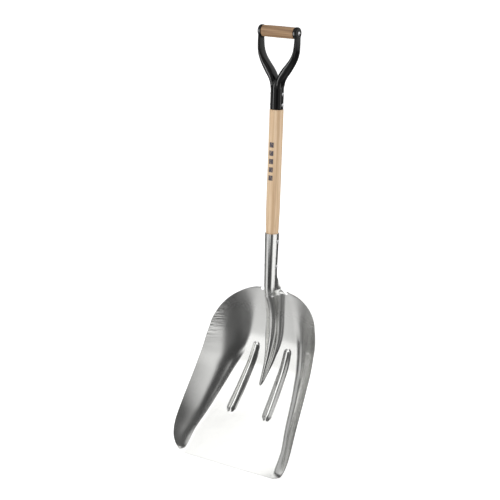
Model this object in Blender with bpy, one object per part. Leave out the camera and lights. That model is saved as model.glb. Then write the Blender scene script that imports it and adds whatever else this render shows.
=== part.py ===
"""Snow shovel: aluminium scoop, ash shaft and black steel yoke with a wooden grip bar.

Frame: metres, +Z up along the shaft, +X to the right, the load side of the
scoop faces -Y. The shaft axis is the line X = 0, Y = AXIS_Y; the origin is the
middle of the cutting edge's end face.
"""
import math

import bmesh
import bpy
import numpy as np

for old in list(bpy.data.objects):
    bpy.data.objects.remove(old, do_unlink=True)

MM = 0.001

# ---------------------------------------------------------------- dimensions (mm)
AXIS_Y = 182.0            # shaft axis behind the cutting edge
GAP = 0.3                 # clearance between touching pieces

# scoop
SHEET_T = 1.8             # aluminium sheet; the stations below follow its middle
FLOOR_TOP = 444.0         # top edge of the floor beside the socket
LOBE_RISE = 10.0          # the top lobes stand this much higher
RIB_LOW = (59.0, 124.0)   # (distance from the middle, height) of the rib ends
RIB_HIGH = (52.0, 281.0)
RIB_HALF = 11.0
RIB_RISE = 4.6
RIB_FLANK = 0.73          # share of the half width taken by the sloping flank

# floor, seen from the side: distance behind the shaft axis at each height
FLOOR = ((0, -182), (65, -129), (130, -76), (160, -52.5), (200, -23.5), (240, 3.5),
         (283, 22), (320, 30), (355, 32), (400, 29), (430, 25), (455, 21))
# where the flat floor ends and the side wall starts to turn up
FOLD = ((0, 142), (50, 142), (100, 127), (200, 101), (300, 72), (350, 62), (400, 54),
        (420, 51), (455, 32))
# rim of the side wall: half width and height above the floor
RIM_X = ((0, 148), (7, 171), (17, 181), (31, 188), (55, 191), (100, 188), (215, 180),
         (339, 172), (369, 165), (392, 155), (417, 134), (440, 96), (450, 68), (455, 42))
RIM_H = ((0, 0), (7, 2), (17, 15.5), (31, 26.5), (64, 41.5), (156, 61), (274, 73.5),
         (339, 64.5), (369, 55.5), (392, 42), (417, 25), (440, 8), (455, 1.5))
# hollow ridge below the socket: height, half width and tightness of its crest
RIDGE_H = ((188, 0), (197, 2.0), (215, 8.5), (250, 15.5), (300, 19.5), (355, 19.0), (370, 19.2),
           (395, 22.4), (415, 27), (435, 32.7), (444, 34.9))
RIDGE_B = ((188, 5.5), (215, 10), (247, 16), (278, 23), (300, 28), (322, 31), (346, 32.5),
           (370, 33), (395, 34), (420, 36), (444, 38))
RIDGE_R = ((188, 3), (215, 4), (247, 7), (278, 10), (310, 13), (335, 14.6), (444, 14.9))

# socket
SOCKET_TOP = 617.0
SEAM_CLOSED = 518.0       # the rolled tube is closed above this height
SEAM_OPEN = 458.0         # and its two legs are straight below this one
SEAM_HALF = 0.6
LEG = 28.5
LEAN = 3.9                # the foot of the socket leans back to meet the ridge
LEAN_TOP = 470.0
SOCKET_R = ((444, 14.9), (475, 15.7), (510, 16.35), (607, 18.1), (617, 18.2))

# shaft
SHAFT_R = 18.8
SHAFT_BOTTOM = 482.0
SHAFT_TAPER = 690.0       # taper into the socket starts here
SHAFT_NECK = ((640.0, 17.75), (665.0, 18.4))   # (height, radius) along the taper
FERRULE_LOW = 955.0
FERRULE_R = 17.8
FERRULE_T = 1.6
FERRULE_HIGH = 1014.0     # the ferrule narrows into the crotch of the arms from here
CROTCH = ((16.2, 1025.0), (13.5, 1033.0), (0.0, 1037.0))
SHAFT_TOP = 1012.0

# yoke
GRIP_Z = 1159.0
CUP_FACE = 60.3           # outer face of an end cup from the middle
CUP_R = 16.2
CUP_LIP = 50.0
CUP_WALL = 1.5
# middle line of the right arm, then its half width and half depth along that line
ARM_PATH = ((7.5, 1004.0), (9.8, 1028.0), (15.2, 1042.0), (26.4, 1058.5), (37.4, 1073.5),
            (46.4, 1087.5), (52.4, 1101.0), (55.5, 1115.0), (56.6, 1129.0), (56.9, 1142.0),
            (56.9, 1151.0))
ARM_HALF_X = ((0.0, 8.6), (0.2, 8.9), (0.35, 9.7), (0.5, 8.2), (0.7, 5.5), (0.85, 3.8),
              (1.0, 3.3))
ARM_HALF_Y = ((0.0, 15.2), (0.1, 15.8), (0.2, 16.6), (0.35, 16.6), (0.5, 15.9), (0.7, 14.8),
              (0.85, 14.2), (1.0, 13.4))

# grip bar and rivets
BAR_R = 15.2
BAR_HALF = 58.3
BAR_TENON_R = CUP_R - CUP_WALL - GAP
GRIP_ROD_R = 2.5
RIVET_R = 2.4
RIVET_HEAD_R = 4.8
RIVET_HEAD_H = 2.0
GRIP_HEAD_R = 5.2
GRIP_HEAD_H = 2.2
HOLE_REACH = 75.0         # half length of the cutters that bore the rivet holes
YOKE_RIVETS = (967.0, 996.0)
SOCKET_RIVETS = (525.0, 595.0)


# ---------------------------------------------------------------- helpers
def curve_through(knots):
    """Smooth monotone curve through a few (position, value) stations."""
    xs = np.array([k[0] for k in knots], float)
    ys = np.array([k[1] for k in knots], float)
    h = np.diff(xs)
    d = np.diff(ys) / h
    m = np.zeros_like(xs)
    m[0], m[-1] = d[0], d[-1]
    for i in range(1, len(xs) - 1):
        if d[i - 1] * d[i] > 0:
            w1, w2 = 2 * h[i] + h[i - 1], h[i] + 2 * h[i - 1]
            m[i] = (w1 + w2) / (w1 / d[i - 1] + w2 / d[i])

    def value(x):
        x = np.clip(np.asarray(x, float), xs[0], xs[-1])
        i = np.clip(np.searchsorted(xs, x) - 1, 0, len(h) - 1)
        t = (x - xs[i]) / h[i]
        return (ys[i] * (1 + 2 * t) * (1 - t) ** 2 + m[i] * h[i] * t * (1 - t) ** 2
                + ys[i + 1] * t * t * (3 - 2 * t) + m[i + 1] * h[i] * t * t * (t - 1))
    return value


def smooth(t):
    t = min(max(t, 0.0), 1.0)
    return t * t * (3 - 2 * t)


floor_y = curve_through(FLOOR)
fold_x = curve_through(FOLD)
rim_x = curve_through(RIM_X)
rim_h = curve_through(RIM_H)
ridge_h = curve_through(RIDGE_H)
ridge_b = curve_through(RIDGE_B)
ridge_r = curve_through(RIDGE_R)
socket_r = curve_through(SOCKET_R)


def station(z):
    """Floor point and inward normal (as Y, Z pairs) at a floor height."""
    slope = float(floor_y(min(z + 1, 455)) - floor_y(max(z - 1, 0))) / (min(z + 1, 455) - max(z - 1, 0))
    n = np.array((-1.0, slope)) / math.hypot(1.0, slope)
    return np.array((float(floor_y(z)), z)), n


def ridge_section(z, n_crest, n_foot):
    """Half section of the hollow ridge: a round crest running into a hollow foot, two tangent arcs."""
    h = max(float(ridge_h(z)), 1e-3)
    b = float(ridge_b(z))
    turn = 2 * math.atan2(h, b)
    both = b / math.sin(turn)
    r = min(float(ridge_r(z)), 0.7 * both)
    foot = both - r
    pts = []
    for i in range(n_crest + 1):
        a = turn * i / n_crest
        pts.append((r * math.sin(a), h - r * (1 - math.cos(a))))
    for i in range(1, n_foot + 1):
        a = turn * (1 - i / n_foot)
        pts.append((b - foot * math.sin(a), foot * (1 - math.cos(a))))
    return pts


def socket_section(z, n_arc, n_leg, back):
    """Half section of the rolled socket: front quarter, then a leg that closes to a tube."""
    r = float(socket_r(z))
    opened = 1 - smooth((z - SEAM_OPEN) / (SEAM_CLOSED - SEAM_OPEN))
    length = LEG * opened + (math.pi * r / 2 - SEAM_HALF) * (1 - opened)
    bend = (1 - opened) / r
    top = back + r
    pts = [(r * math.sin(math.pi / 2 * i / n_arc), top - r * (1 - math.cos(math.pi / 2 * i / n_arc)))
           for i in range(n_arc + 1)]
    for i in range(1, n_leg + 1):
        u = length * i / n_leg
        if bend * length < 1e-3:
            pts.append((r, top - r - u))
        else:
            pts.append((r - (1 - math.cos(bend * u)) / bend, top - r - math.sin(bend * u) / bend))
    return pts


def rib_height(x, z):
    """Raised rib with rounded ends; x from the middle, z the floor height."""
    ax, az = RIB_LOW
    bx, bz = RIB_HIGH
    stretch = 1.2
    dx, dz = bx - ax, (bz - az) * stretch
    t = ((x - ax) * dx + (z - az) * stretch * dz) / (dx * dx + dz * dz)
    t = min(max(t, 0.0), 1.0)
    d = math.hypot(x - ax - dx * t, (z - az) * stretch - dz * t)
    return RIB_RISE * min(max((RIB_HALF - d) / (RIB_HALF * RIB_FLANK), 0.0), 1.0)


def rib_middle(z):
    t = (z - RIB_LOW[1]) / (RIB_HIGH[1] - RIB_LOW[1])
    x = RIB_LOW[0] + (RIB_HIGH[0] - RIB_LOW[0]) * min(max(t, 0.0), 1.0)
    return x + (28.0 - x) * smooth((z - 300) / 155)


def blade_rows():
    """Heights of the floor's rows, closer together where the sheet bends."""
    low = [0, 1.5, 4, 7, 11, 17, 24, 34, 48, 66, 88, 110, 116, 124, 148, 172, 190, 202, 216, 234,
           252, 272, 284, 291]
    high = [306, 324, 342, 358, 372, 384, 395, 405, 414, 422, 429, 435, 440, 444]
    return low + high


N_ARC, N_LEG, N_FILLET, N_WALL = 6, 4, 2, 7


def blade_half_row(z, rise):
    """Points of one row from the crest out to the rim, as (x, y, z)."""
    pts = []
    p, n = station(z)
    for x, q in ridge_section(z, N_ARC, N_LEG + N_FILLET):
        pts.append((x, p[0] + n[0] * q, p[1] + n[1] * q))
    x0 = pts[-1][0]
    x1 = float(fold_x(z))
    mid = rib_middle(z)
    half = min(RIB_HALF, 0.42 * (x1 - x0))
    mid = min(max(mid, x0 + half * 1.15), x1 - half * 1.1)
    crest = half * (1 - RIB_FLANK)
    for x in (mid - half, mid - crest, mid, mid + crest, mid + half, (mid + half + x1) / 2):
        q = rib_height(x, z)
        pts.append((x, p[0] + n[0] * q, p[1] + n[1] * q))
    for i in range(N_WALL + 1):
        t = i / N_WALL
        zz = z + LOBE_RISE * smooth(t / 0.5) * rise
        p2, n2 = station(min(zz, 455))
        w = float(rim_x(zz)) - float(fold_x(zz))
        h = float(rim_h(zz))
        bx = 3 * t * (1 - t) ** 2 * 0.30 * w + 3 * t * t * (1 - t) * 0.69 * w + t ** 3 * w
        bq = 3 * t * t * (1 - t) * 0.40 * h + t ** 3 * h
        xf = float(fold_x(zz))
        pts.append((xf + bx, p2[0] + n2[0] * bq, p2[1] + n2[1] * bq))
    return pts


def mirrored(half):
    return [(-x, y, z) for x, y, z in reversed(half[1:])] + list(half)


def thick_sheet(rows, thickness):
    """Closed solid around a middle grid whose later rows may be shorter than the first ones."""
    index, verts = [], []
    for row in rows:
        index.append(list(range(len(verts), len(verts) + len(row))))
        verts.extend(row)
    faces = []
    for a, b in zip(index[:-1], index[1:]):
        if len(b) < len(a):
            a = a[(len(a) - len(b)) // 2:(len(a) - len(b)) // 2 + len(b)]
        for i in range(len(b) - 1):
            faces.append((a[i], b[i], b[i + 1], a[i + 1]))
    verts = np.array(verts, float)
    normal = np.zeros_like(verts)
    for f in faces:
        c = np.cross(verts[f[2]] - verts[f[0]], verts[f[3]] - verts[f[1]])
        for v in f:
            normal[v] += c
    normal /= np.linalg.norm(normal, axis=1)[:, None]
    count = len(verts)
    front, back = verts - normal * thickness / 2, verts + normal * thickness / 2
    edges = {}
    for f in faces:
        for i in range(4):
            e = (f[i], f[(i + 1) % 4])
            edges[e] = True
    border = [e for e in edges if (e[1], e[0]) not in edges]
    solid = [tuple(reversed(f)) for f in faces]
    solid += [tuple(v + count for v in f) for f in faces]
    solid += [(a, b, b + count, a + count) for a, b in border]
    return np.vstack((front, back)), solid


collection = bpy.data.collections.new("snow_shovel")
bpy.context.scene.collection.children.link(collection)
cutters = bpy.data.collections.new("snow_shovel_cutters")
bpy.context.scene.collection.children.link(cutters)


def add_mesh(name, verts, faces, material=None, into=None, smooth_angle=35.0):
    mesh = bpy.data.meshes.new(name)
    mesh.from_pydata([tuple(v * MM for v in p) for p in verts], [], [tuple(f) for f in faces])
    bm = bmesh.new()
    bm.from_mesh(mesh)
    bmesh.ops.recalc_face_normals(bm, faces=bm.faces[:])
    for f in bm.faces:
        f.smooth = True
    for e in bm.edges:
        e.smooth = e.calc_face_angle(0.0) < math.radians(smooth_angle)
    bm.to_mesh(mesh)
    bm.free()
    obj = bpy.data.objects.new(name, mesh)
    (into or collection).objects.link(obj)
    if material:
        mesh.materials.append(material)
    return obj


def lathe(profile, axis, centre, segments):
    """Closed revolved solid; profile is (radius, position) with the ends on the axis."""
    verts, faces, rings = [], [], []
    for r, t in profile:
        if r < 1e-6:
            rings.append([len(verts)])
            verts.append(place(0.0, 0.0, t, axis, centre))
        else:
            rings.append(list(range(len(verts), len(verts) + segments)))
            for k in range(segments):
                a = 2 * math.pi * k / segments
                verts.append(place(r * math.cos(a), r * math.sin(a), t, axis, centre))
    for a, b in zip(rings[:-1], rings[1:]):
        for k in range(segments):
            k2 = (k + 1) % segments
            if len(a) == 1:
                faces.append((a[0], b[k], b[k2]))
            elif len(b) == 1:
                faces.append((a[k], b[0], a[k2]))
            else:
                faces.append((a[k], b[k], b[k2], a[k2]))
    return verts, faces


def place(u, v, t, axis, centre):
    """A point from cross coordinates (u, v) and a position t along the axis X or Z."""
    if axis == "X":
        return (t + centre[0], u + centre[1], v + centre[2])
    return (u + centre[0], v + centre[1], t + centre[2])


def material(name, colour, metallic, roughness):
    m = bpy.data.materials.new(name)
    m.use_nodes = True
    shader = m.node_tree.nodes["Principled BSDF"]
    shader.inputs["Base Color"].default_value = (*colour, 1.0)
    shader.inputs["Metallic"].default_value = metallic
    shader.inputs["Roughness"].default_value = roughness
    return m


ALUMINIUM = material("aluminium", (0.86, 0.87, 0.87), 1.0, 0.22)
ASH = material("ash_wood", (0.80, 0.64, 0.42), 0.0, 0.45)
GRIP_WOOD = material("grip_wood", (0.62, 0.42, 0.22), 0.0, 0.45)
BLACK_PAINT = material("black_paint", (0.015, 0.015, 0.016), 0.0, 0.22)
STEEL = material("rivet_steel", (0.70, 0.70, 0.71), 1.0, 0.3)


def cut(obj, verts, faces, name):
    """Boolean difference with a closed cutter."""
    tool = add_mesh(name, verts, faces, into=cutters)
    tool.hide_render = True
    tool.display_type = "WIRE"
    mod = obj.modifiers.new(name, "BOOLEAN")
    mod.operation = "DIFFERENCE"
    mod.solver = "EXACT"
    mod.object = tool


def join(obj, tool):
    tool.hide_render = True
    tool.display_type = "WIRE"
    mod = obj.modifiers.new(tool.name, "BOOLEAN")
    mod.operation = "UNION"
    mod.solver = "EXACT"
    mod.object = tool


def cross_hole(z, rod):
    """Cutter for a rivet hole along X."""
    r = rod + GAP
    profile = [(0, -HOLE_REACH), (r, -HOLE_REACH), (r, HOLE_REACH), (0, HOLE_REACH)]
    return lathe(profile, "X", (0, AXIS_Y, z), 16)


# ---------------------------------------------------------------- scoop blade
def build_blade():
    rows = []
    for z in blade_rows():
        rise = smooth((z - 380) / (FLOOR_TOP - 380))
        rows.append(mirrored(blade_half_row(z, rise)))
    back0 = float(floor_y(FLOOR_TOP))
    _, n0 = station(FLOOR_TOP)
    tilt0 = math.atan2(-n0[1], -n0[0])
    heights = [446.5, 449.5, 452.5, 456, 461, 467, 474, 481, 488, 495, 502, 508, 513, 518, 545, 580,
               SOCKET_TOP]
    foot = np.array(ridge_section(FLOOR_TOP, N_ARC, N_LEG + N_FILLET))
    for z in heights:
        k = smooth((z - FLOOR_TOP) / 34.0)
        tilt = tilt0 * (1 - k)
        n = (-math.cos(tilt), -math.sin(tilt))
        flare = smooth((456 - z) / 12.0)
        lean = LEAN * (max(LEAN_TOP - z, 0.0) / (LEAN_TOP - FLOOR_TOP)) ** 2
        section = np.array(socket_section(z, N_ARC, N_LEG + N_FILLET, back0)) - np.array((0, lean))
        section = section * (1 - flare) + foot * flare
        half = [(x, back0 + n[0] * q, z + n[1] * q) for x, q in section]
        rows.append(mirrored(half))
    rows = [[(x, y + AXIS_Y, z) for x, y, z in row] for row in rows]
    verts, faces = thick_sheet(rows, SHEET_T)
    blade = add_mesh("scoop_blade", verts, faces, ALUMINIUM)
    for k, z in enumerate(SOCKET_RIVETS):
        v, f = cross_hole(z, RIVET_R)
        cut(blade, v, f, "socket_rivet_hole_%d" % k)
    return blade


# ---------------------------------------------------------------- shaft
def build_shaft():
    tenon = FERRULE_R - FERRULE_T - GAP
    profile = [(0, SHAFT_BOTTOM), (11.5, SHAFT_BOTTOM), (14.2, SHAFT_BOTTOM + 5)]
    for z in (500.0, 525.0, 560.0, SOCKET_TOP):
        profile.append((float(socket_r(z)) - SHEET_T / 2 - GAP, z))
    profile += [(r, z) for z, r in SHAFT_NECK]
    profile += [(SHAFT_R, SHAFT_TAPER), (SHAFT_R, 820.0), (SHAFT_R, FERRULE_LOW - GAP),
                (tenon, FERRULE_LOW - GAP), (tenon, SHAFT_TOP - 2),
                (tenon - 2, SHAFT_TOP), (0, SHAFT_TOP)]
    v, f = lathe(profile, "Z", (0, AXIS_Y, 0), 40)
    shaft = add_mesh("wood_shaft", v, f, ASH)
    for k, z in enumerate(YOKE_RIVETS + SOCKET_RIVETS):
        v, f = cross_hole(z, RIVET_R)
        cut(shaft, v, f, "shaft_rivet_hole_%d" % k)
    return shaft


# ---------------------------------------------------------------- yoke
def arm_mesh(side):
    """One arm: rounded-box sections swept from the ferrule up to the cup."""
    path = np.array(ARM_PATH, float)
    steps = np.concatenate(([0.0], np.cumsum(np.hypot(*np.diff(path, axis=0).T))))
    total = steps[-1]
    px = curve_through(list(zip(steps / total, path[:, 0])))
    pz = curve_through(list(zip(steps / total, path[:, 1])))
    hx, hy = curve_through(ARM_HALF_X), curve_through(ARM_HALF_Y)
    n_path, n_loop = 22, 20
    verts, faces = [], []
    for i in range(n_path + 1):
        s = i / n_path
        a, b = max(s - 0.01, 0), min(s + 0.01, 1)
        dx, dz = float(px(b) - px(a)), float(pz(b) - pz(a))
        length = math.hypot(dx, dz)
        ox, oz = dz / length, -dx / length
        power = 2.0 + 1.2 * smooth(s / 0.3)
        for k in range(n_loop):
            t = 2 * math.pi * k / n_loop
            c, d = math.cos(t), math.sin(t)
            u = math.copysign(abs(c) ** (2 / power), c) * float(hx(s))
            w = math.copysign(abs(d) ** (2 / power), d) * float(hy(s))
            verts.append((side * (float(px(s)) + ox * u), AXIS_Y + w, float(pz(s)) + oz * u))
    for i in range(n_path):
        for k in range(n_loop):
            a, b = i * n_loop + k, i * n_loop + (k + 1) % n_loop
            faces.append((a, b, b + n_loop, a + n_loop))
    faces.append(tuple(range(n_loop)))
    faces.append(tuple(range(n_path * n_loop, (n_path + 1) * n_loop)))
    return verts, faces


def merged(meshes):
    """Several disjoint closed meshes as one vertex and face list."""
    verts, faces = [], []
    for v, f in meshes:
        faces += [tuple(i + len(verts) for i in face) for face in f]
        verts += list(v)
    return verts, faces


def build_yoke():
    ferrule = [(0, FERRULE_LOW), (FERRULE_R - 0.4, FERRULE_LOW), (FERRULE_R, FERRULE_LOW + 0.4),
               (FERRULE_R, FERRULE_HIGH), *CROTCH]
    v, f = lathe(ferrule, "Z", (0, AXIS_Y, 0), 40)
    yoke = add_mesh("handle_yoke", v, f, BLACK_PAINT)
    arms, cups, hollows = [], [], []
    for side in (1, -1):
        arms.append(arm_mesh(side))
        cup = [(0, CUP_LIP), (CUP_R - 0.6, CUP_LIP), (CUP_R, CUP_LIP + 0.6), (CUP_R, CUP_FACE - 2.0),
               (CUP_R - 1.6, CUP_FACE - 0.4), (CUP_R - 3.2, CUP_FACE), (0, CUP_FACE)]
        cups.append(lathe([(r, side * t) for r, t in cup], "X", (0, AXIS_Y, GRIP_Z), 40))
        recess = [(0, CUP_LIP - 3), (CUP_R - CUP_WALL, CUP_LIP - 3),
                  (CUP_R - CUP_WALL, CUP_FACE - CUP_WALL), (0, CUP_FACE - CUP_WALL)]
        hollows.append(lathe([(r, side * t) for r, t in recess], "X", (0, AXIS_Y, GRIP_Z), 36))
    for (v, f), tag in zip(arms, ("right", "left")):
        join(yoke, add_mesh("yoke_arm_" + tag, v, f, into=cutters))
    join(yoke, add_mesh("yoke_cups", *merged(cups), into=cutters))
    bore = FERRULE_R - FERRULE_T
    hollow = [(0, FERRULE_LOW - 5), (bore, FERRULE_LOW - 5), (bore, SHAFT_TOP + 1), (0, SHAFT_TOP + 1)]
    hollows.append(lathe(hollow, "Z", (0, AXIS_Y, 0), 36))
    cut(yoke, *merged(hollows), "yoke_hollows")
    holes = [cross_hole(z, RIVET_R) for z in YOKE_RIVETS]
    holes.append(cross_hole(GRIP_Z, GRIP_ROD_R))
    cut(yoke, *merged(holes), "yoke_rivet_holes")
    weld = yoke.modifiers.new("weld", "WELD")
    weld.merge_threshold = 0.00002
    return yoke


def build_grip_bar():
    neck = CUP_LIP - GAP
    half = [(BAR_R, neck - 1.0), (BAR_R - 0.5, neck), (BAR_TENON_R, neck),
            (BAR_TENON_R, BAR_HALF - 0.6), (BAR_TENON_R - 0.5, BAR_HALF), (GRIP_ROD_R + GAP, BAR_HALF)]
    profile = [(r, -t) for r, t in reversed(half)] + [(BAR_R + 0.3, 0.0)] + half
    around = 40
    v, f = lathe(profile, "X", (0, AXIS_Y, GRIP_Z), around)
    last = len(v) - around
    for k in range(around):
        k2 = (k + 1) % around
        f.append((last + k, k, k2, last + k2))
    return add_mesh("grip_bar", v, f, GRIP_WOOD)


def build_rivet(name, z, reach, rod, head, rise):
    """A cross rivet: rod along X with a low domed head outside each face."""
    inner = reach + GAP
    half = [(head * 0.55, inner + rise), (head * 0.88, inner + rise * 0.62), (head, inner), (rod, inner)]
    profile = [(0, -inner - rise)] + [(r, -t) for r, t in half]
    profile += [(r, t) for r, t in reversed(half)] + [(0, inner + rise)]
    v, f = lathe(profile, "X", (0, AXIS_Y, z), 20)
    return add_mesh(name, v, f, STEEL)


build_blade()
build_shaft()
build_yoke()
build_grip_bar()
build_rivet("grip_through_rivet", GRIP_Z, CUP_FACE, GRIP_ROD_R, GRIP_HEAD_R, GRIP_HEAD_H)
for place_name, z in zip(("lower", "upper"), YOKE_RIVETS):
    build_rivet("yoke_rivet_" + place_name, z, FERRULE_R, RIVET_R, RIVET_HEAD_R, RIVET_HEAD_H)
for place_name, z in zip(("lower", "upper"), SOCKET_RIVETS):
    outside = float(socket_r(z)) + SHEET_T / 2
    build_rivet("socket_rivet_" + place_name, z, outside, RIVET_R, RIVET_HEAD_R, RIVET_HEAD_H)
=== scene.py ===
import math

import bmesh
import bpy
import numpy as np
from mathutils import Matrix, Vector


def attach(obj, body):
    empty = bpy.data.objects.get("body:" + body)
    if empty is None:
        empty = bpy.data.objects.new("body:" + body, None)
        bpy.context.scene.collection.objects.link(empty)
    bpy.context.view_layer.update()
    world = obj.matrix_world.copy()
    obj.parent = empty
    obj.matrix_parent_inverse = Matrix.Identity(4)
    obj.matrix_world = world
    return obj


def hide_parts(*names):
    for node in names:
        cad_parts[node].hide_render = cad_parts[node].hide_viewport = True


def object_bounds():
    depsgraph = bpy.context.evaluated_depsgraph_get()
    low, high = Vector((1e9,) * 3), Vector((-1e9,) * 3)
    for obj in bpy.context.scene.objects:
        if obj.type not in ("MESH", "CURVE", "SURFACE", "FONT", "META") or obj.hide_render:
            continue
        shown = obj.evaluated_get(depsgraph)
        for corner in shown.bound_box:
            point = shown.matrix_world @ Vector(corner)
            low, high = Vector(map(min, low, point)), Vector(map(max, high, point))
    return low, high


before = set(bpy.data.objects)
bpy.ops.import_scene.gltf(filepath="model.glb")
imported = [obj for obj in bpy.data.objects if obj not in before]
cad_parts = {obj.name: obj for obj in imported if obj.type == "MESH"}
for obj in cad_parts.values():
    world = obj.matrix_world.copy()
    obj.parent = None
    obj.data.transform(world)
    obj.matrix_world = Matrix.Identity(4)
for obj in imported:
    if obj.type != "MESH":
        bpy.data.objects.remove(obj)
CAD_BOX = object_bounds()

MM = 0.001
AXIS_Y = 182.0            # the shaft axis is the line X = 0, Y = AXIS_Y

# ---------------------------------------------------------------- scoop: stations in mm
SHEET_T = 1.8
FLOOR_TOP = 444.0         # top edge of the floor beside the socket
LOBE_RISE = 10.0          # the top lobes stand this much higher
RIB_LOW = (59.0, 124.0)
RIB_HIGH = (52.0, 281.0)
RIB_HALF = 11.0
RIB_RISE = 4.6
RIB_FLANK = 0.73
# floor, seen from the side: distance behind the shaft axis at each height
FLOOR = ((0, -182), (65, -129), (130, -76), (160, -52.5), (200, -23.5), (240, 3.5),
         (283, 22), (320, 30), (355, 32), (400, 29), (430, 25), (455, 21))
# where the flat floor ends and the side wall starts to turn up
FOLD = ((0, 142), (50, 142), (100, 127), (200, 101), (300, 72), (350, 62), (400, 54),
        (420, 51), (455, 32))
# rim of the side wall: half width and height above the floor
RIM_X = ((0, 148), (7, 171), (17, 181), (31, 188), (55, 191), (100, 188), (215, 180),
         (339, 172), (369, 165), (392, 155), (417, 134), (440, 96), (450, 68), (455, 42))
RIM_H = ((0, 0), (7, 2), (17, 15.5), (31, 26.5), (64, 41.5), (156, 61), (274, 73.5),
         (339, 64.5), (369, 55.5), (392, 42), (417, 25), (440, 8), (455, 1.5))
# hollow ridge below the socket: height, half width and tightness of its crest
RIDGE_H = ((188, 0), (197, 2.0), (215, 8.5), (250, 15.5), (300, 19.5), (355, 19.0), (370, 19.2),
           (395, 22.4), (415, 27), (435, 32.7), (444, 34.9))
RIDGE_B = ((188, 5.5), (215, 10), (247, 16), (278, 23), (300, 28), (322, 31), (346, 32.5),
           (370, 33), (395, 34), (420, 36), (444, 38))
RIDGE_R = ((188, 3), (215, 4), (247, 7), (278, 10), (310, 13), (335, 14.6), (444, 14.9))
SOCKET_TOP = 617.0
SEAM_CLOSED = 518.0       # the rolled tube is closed above this height
SEAM_OPEN = 458.0         # and its two legs are straight below this one
SEAM_HALF = 0.6
LEG = 28.5
LEAN = 3.9                # the foot of the socket leans back to meet the ridge
LEAN_TOP = 470.0
SOCKET_R = ((444, 14.9), (475, 15.7), (510, 16.35), (607, 18.1), (617, 18.2))

# ---------------------------------------------------------------- shaft, yoke, grip and rivets (mm)
SHAFT_R = 18.8
SHAFT_BOTTOM = 482.0
SHAFT_TAPER = 690.0       # taper into the socket starts here
SHAFT_NECK = ((640.0, 17.75), (665.0, 18.4))   # (height, radius) along the taper
FERRULE_LOW = 955.0
FERRULE_R = 17.8
FERRULE_T = 1.6
FERRULE_HIGH = 1014.0     # the ferrule narrows into the crotch of the arms from here
CROTCH = ((16.2, 1025.0), (13.5, 1033.0), (0.0, 1037.0))
SHAFT_TOP = 1012.0
GRIP_Z = 1159.0
CUP_FACE = 60.3
CUP_R = 16.2
CUP_LIP = 50.0
CUP_WALL = 1.5
# middle line of the right arm, then its half width and half depth along that line
ARM_PATH = ((7.5, 1004.0), (9.8, 1028.0), (15.2, 1042.0), (26.4, 1058.5), (37.4, 1073.5),
            (46.4, 1087.5), (52.4, 1101.0), (55.5, 1115.0), (56.6, 1129.0), (56.9, 1142.0),
            (56.9, 1151.0))
ARM_HALF_X = ((0.0, 8.6), (0.2, 8.9), (0.35, 9.7), (0.5, 8.2), (0.7, 5.5), (0.85, 3.8),
              (1.0, 3.3))
ARM_HALF_Y = ((0.0, 15.2), (0.1, 15.8), (0.2, 16.6), (0.35, 16.6), (0.5, 15.9), (0.7, 14.8),
              (0.85, 14.2), (1.0, 13.4))
BAR_R = 15.2
BAR_HALF = 58.3
GAP = 0.3
GRIP_ROD_R = 2.5
GRIP_HEAD_R = 5.2
GRIP_HEAD_H = 2.2
RIVET_R = 2.4
RIVET_HEAD_R = 4.8
RIVET_HEAD_H = 2.0
YOKE_RIVETS = (967.0, 996.0)
SOCKET_RIVETS = (525.0, 595.0)


# ---------------------------------------------------------------- curves
def curve_through(knots):
    """Smooth monotone curve through a few (position, value) stations."""
    xs = np.array([k[0] for k in knots], float)
    ys = np.array([k[1] for k in knots], float)
    h = np.diff(xs)
    d = np.diff(ys) / h
    m = np.zeros_like(xs)
    m[0], m[-1] = d[0], d[-1]
    for i in range(1, len(xs) - 1):
        if d[i - 1] * d[i] > 0:
            w1, w2 = 2 * h[i] + h[i - 1], h[i] + 2 * h[i - 1]
            m[i] = (w1 + w2) / (w1 / d[i - 1] + w2 / d[i])

    def value(x):
        x = np.clip(np.asarray(x, float), xs[0], xs[-1])
        i = np.clip(np.searchsorted(xs, x) - 1, 0, len(h) - 1)
        t = (x - xs[i]) / h[i]
        return (ys[i] * (1 + 2 * t) * (1 - t) ** 2 + m[i] * h[i] * t * (1 - t) ** 2
                + ys[i + 1] * t * t * (3 - 2 * t) + m[i + 1] * h[i] * t * t * (t - 1))
    return value


def fair(knots, sigma=7.0, ends=26.0):
    """The same curve with its curvature evened out away from its two ends."""
    raw = curve_through(knots)
    lo, hi = knots[0][0], knots[-1][0]
    xs = np.arange(lo, hi + 0.5, 1.0)
    ys = raw(xs)
    n = int(4 * sigma)
    pad = np.concatenate((2 * ys[0] - ys[n:0:-1], ys, 2 * ys[-1] - ys[-2:-n - 2:-1]))
    k = np.exp(-0.5 * (np.arange(-n, n + 1) / sigma) ** 2)
    even = np.convolve(pad, k / k.sum(), mode="valid")
    w = ease(np.minimum(xs - lo, hi - xs) / ends)
    out = ys * (1 - w) + even * w
    return lambda x: np.interp(x, xs, out)


def ease(t):
    t = np.clip(t, 0.0, 1.0)
    return t * t * (3 - 2 * t)


floor_y = fair(FLOOR, 9.0, 40.0)
fold_x = fair(FOLD, 12.0, 30.0)
rim_x = fair(RIM_X, 6.0, 26.0)
rim_h = fair(RIM_H, 6.0, 26.0)
ridge_h = fair(RIDGE_H, 5.0, 14.0)
ridge_b = fair(RIDGE_B, 6.0, 14.0)
ridge_r = fair(RIDGE_R, 6.0, 14.0)
socket_r = fair(SOCKET_R, 8.0, 20.0)


def station(z):
    """Floor point and inward normal, as (y, z, normal y, normal z), at a floor height."""
    z = np.asarray(z, float)
    a, b = np.maximum(z - 2, 0), np.minimum(z + 2, 455)
    slope = (floor_y(b) - floor_y(a)) / (b - a)
    length = np.hypot(1.0, slope)
    return floor_y(z), z, -1.0 / length, slope / length


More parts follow.
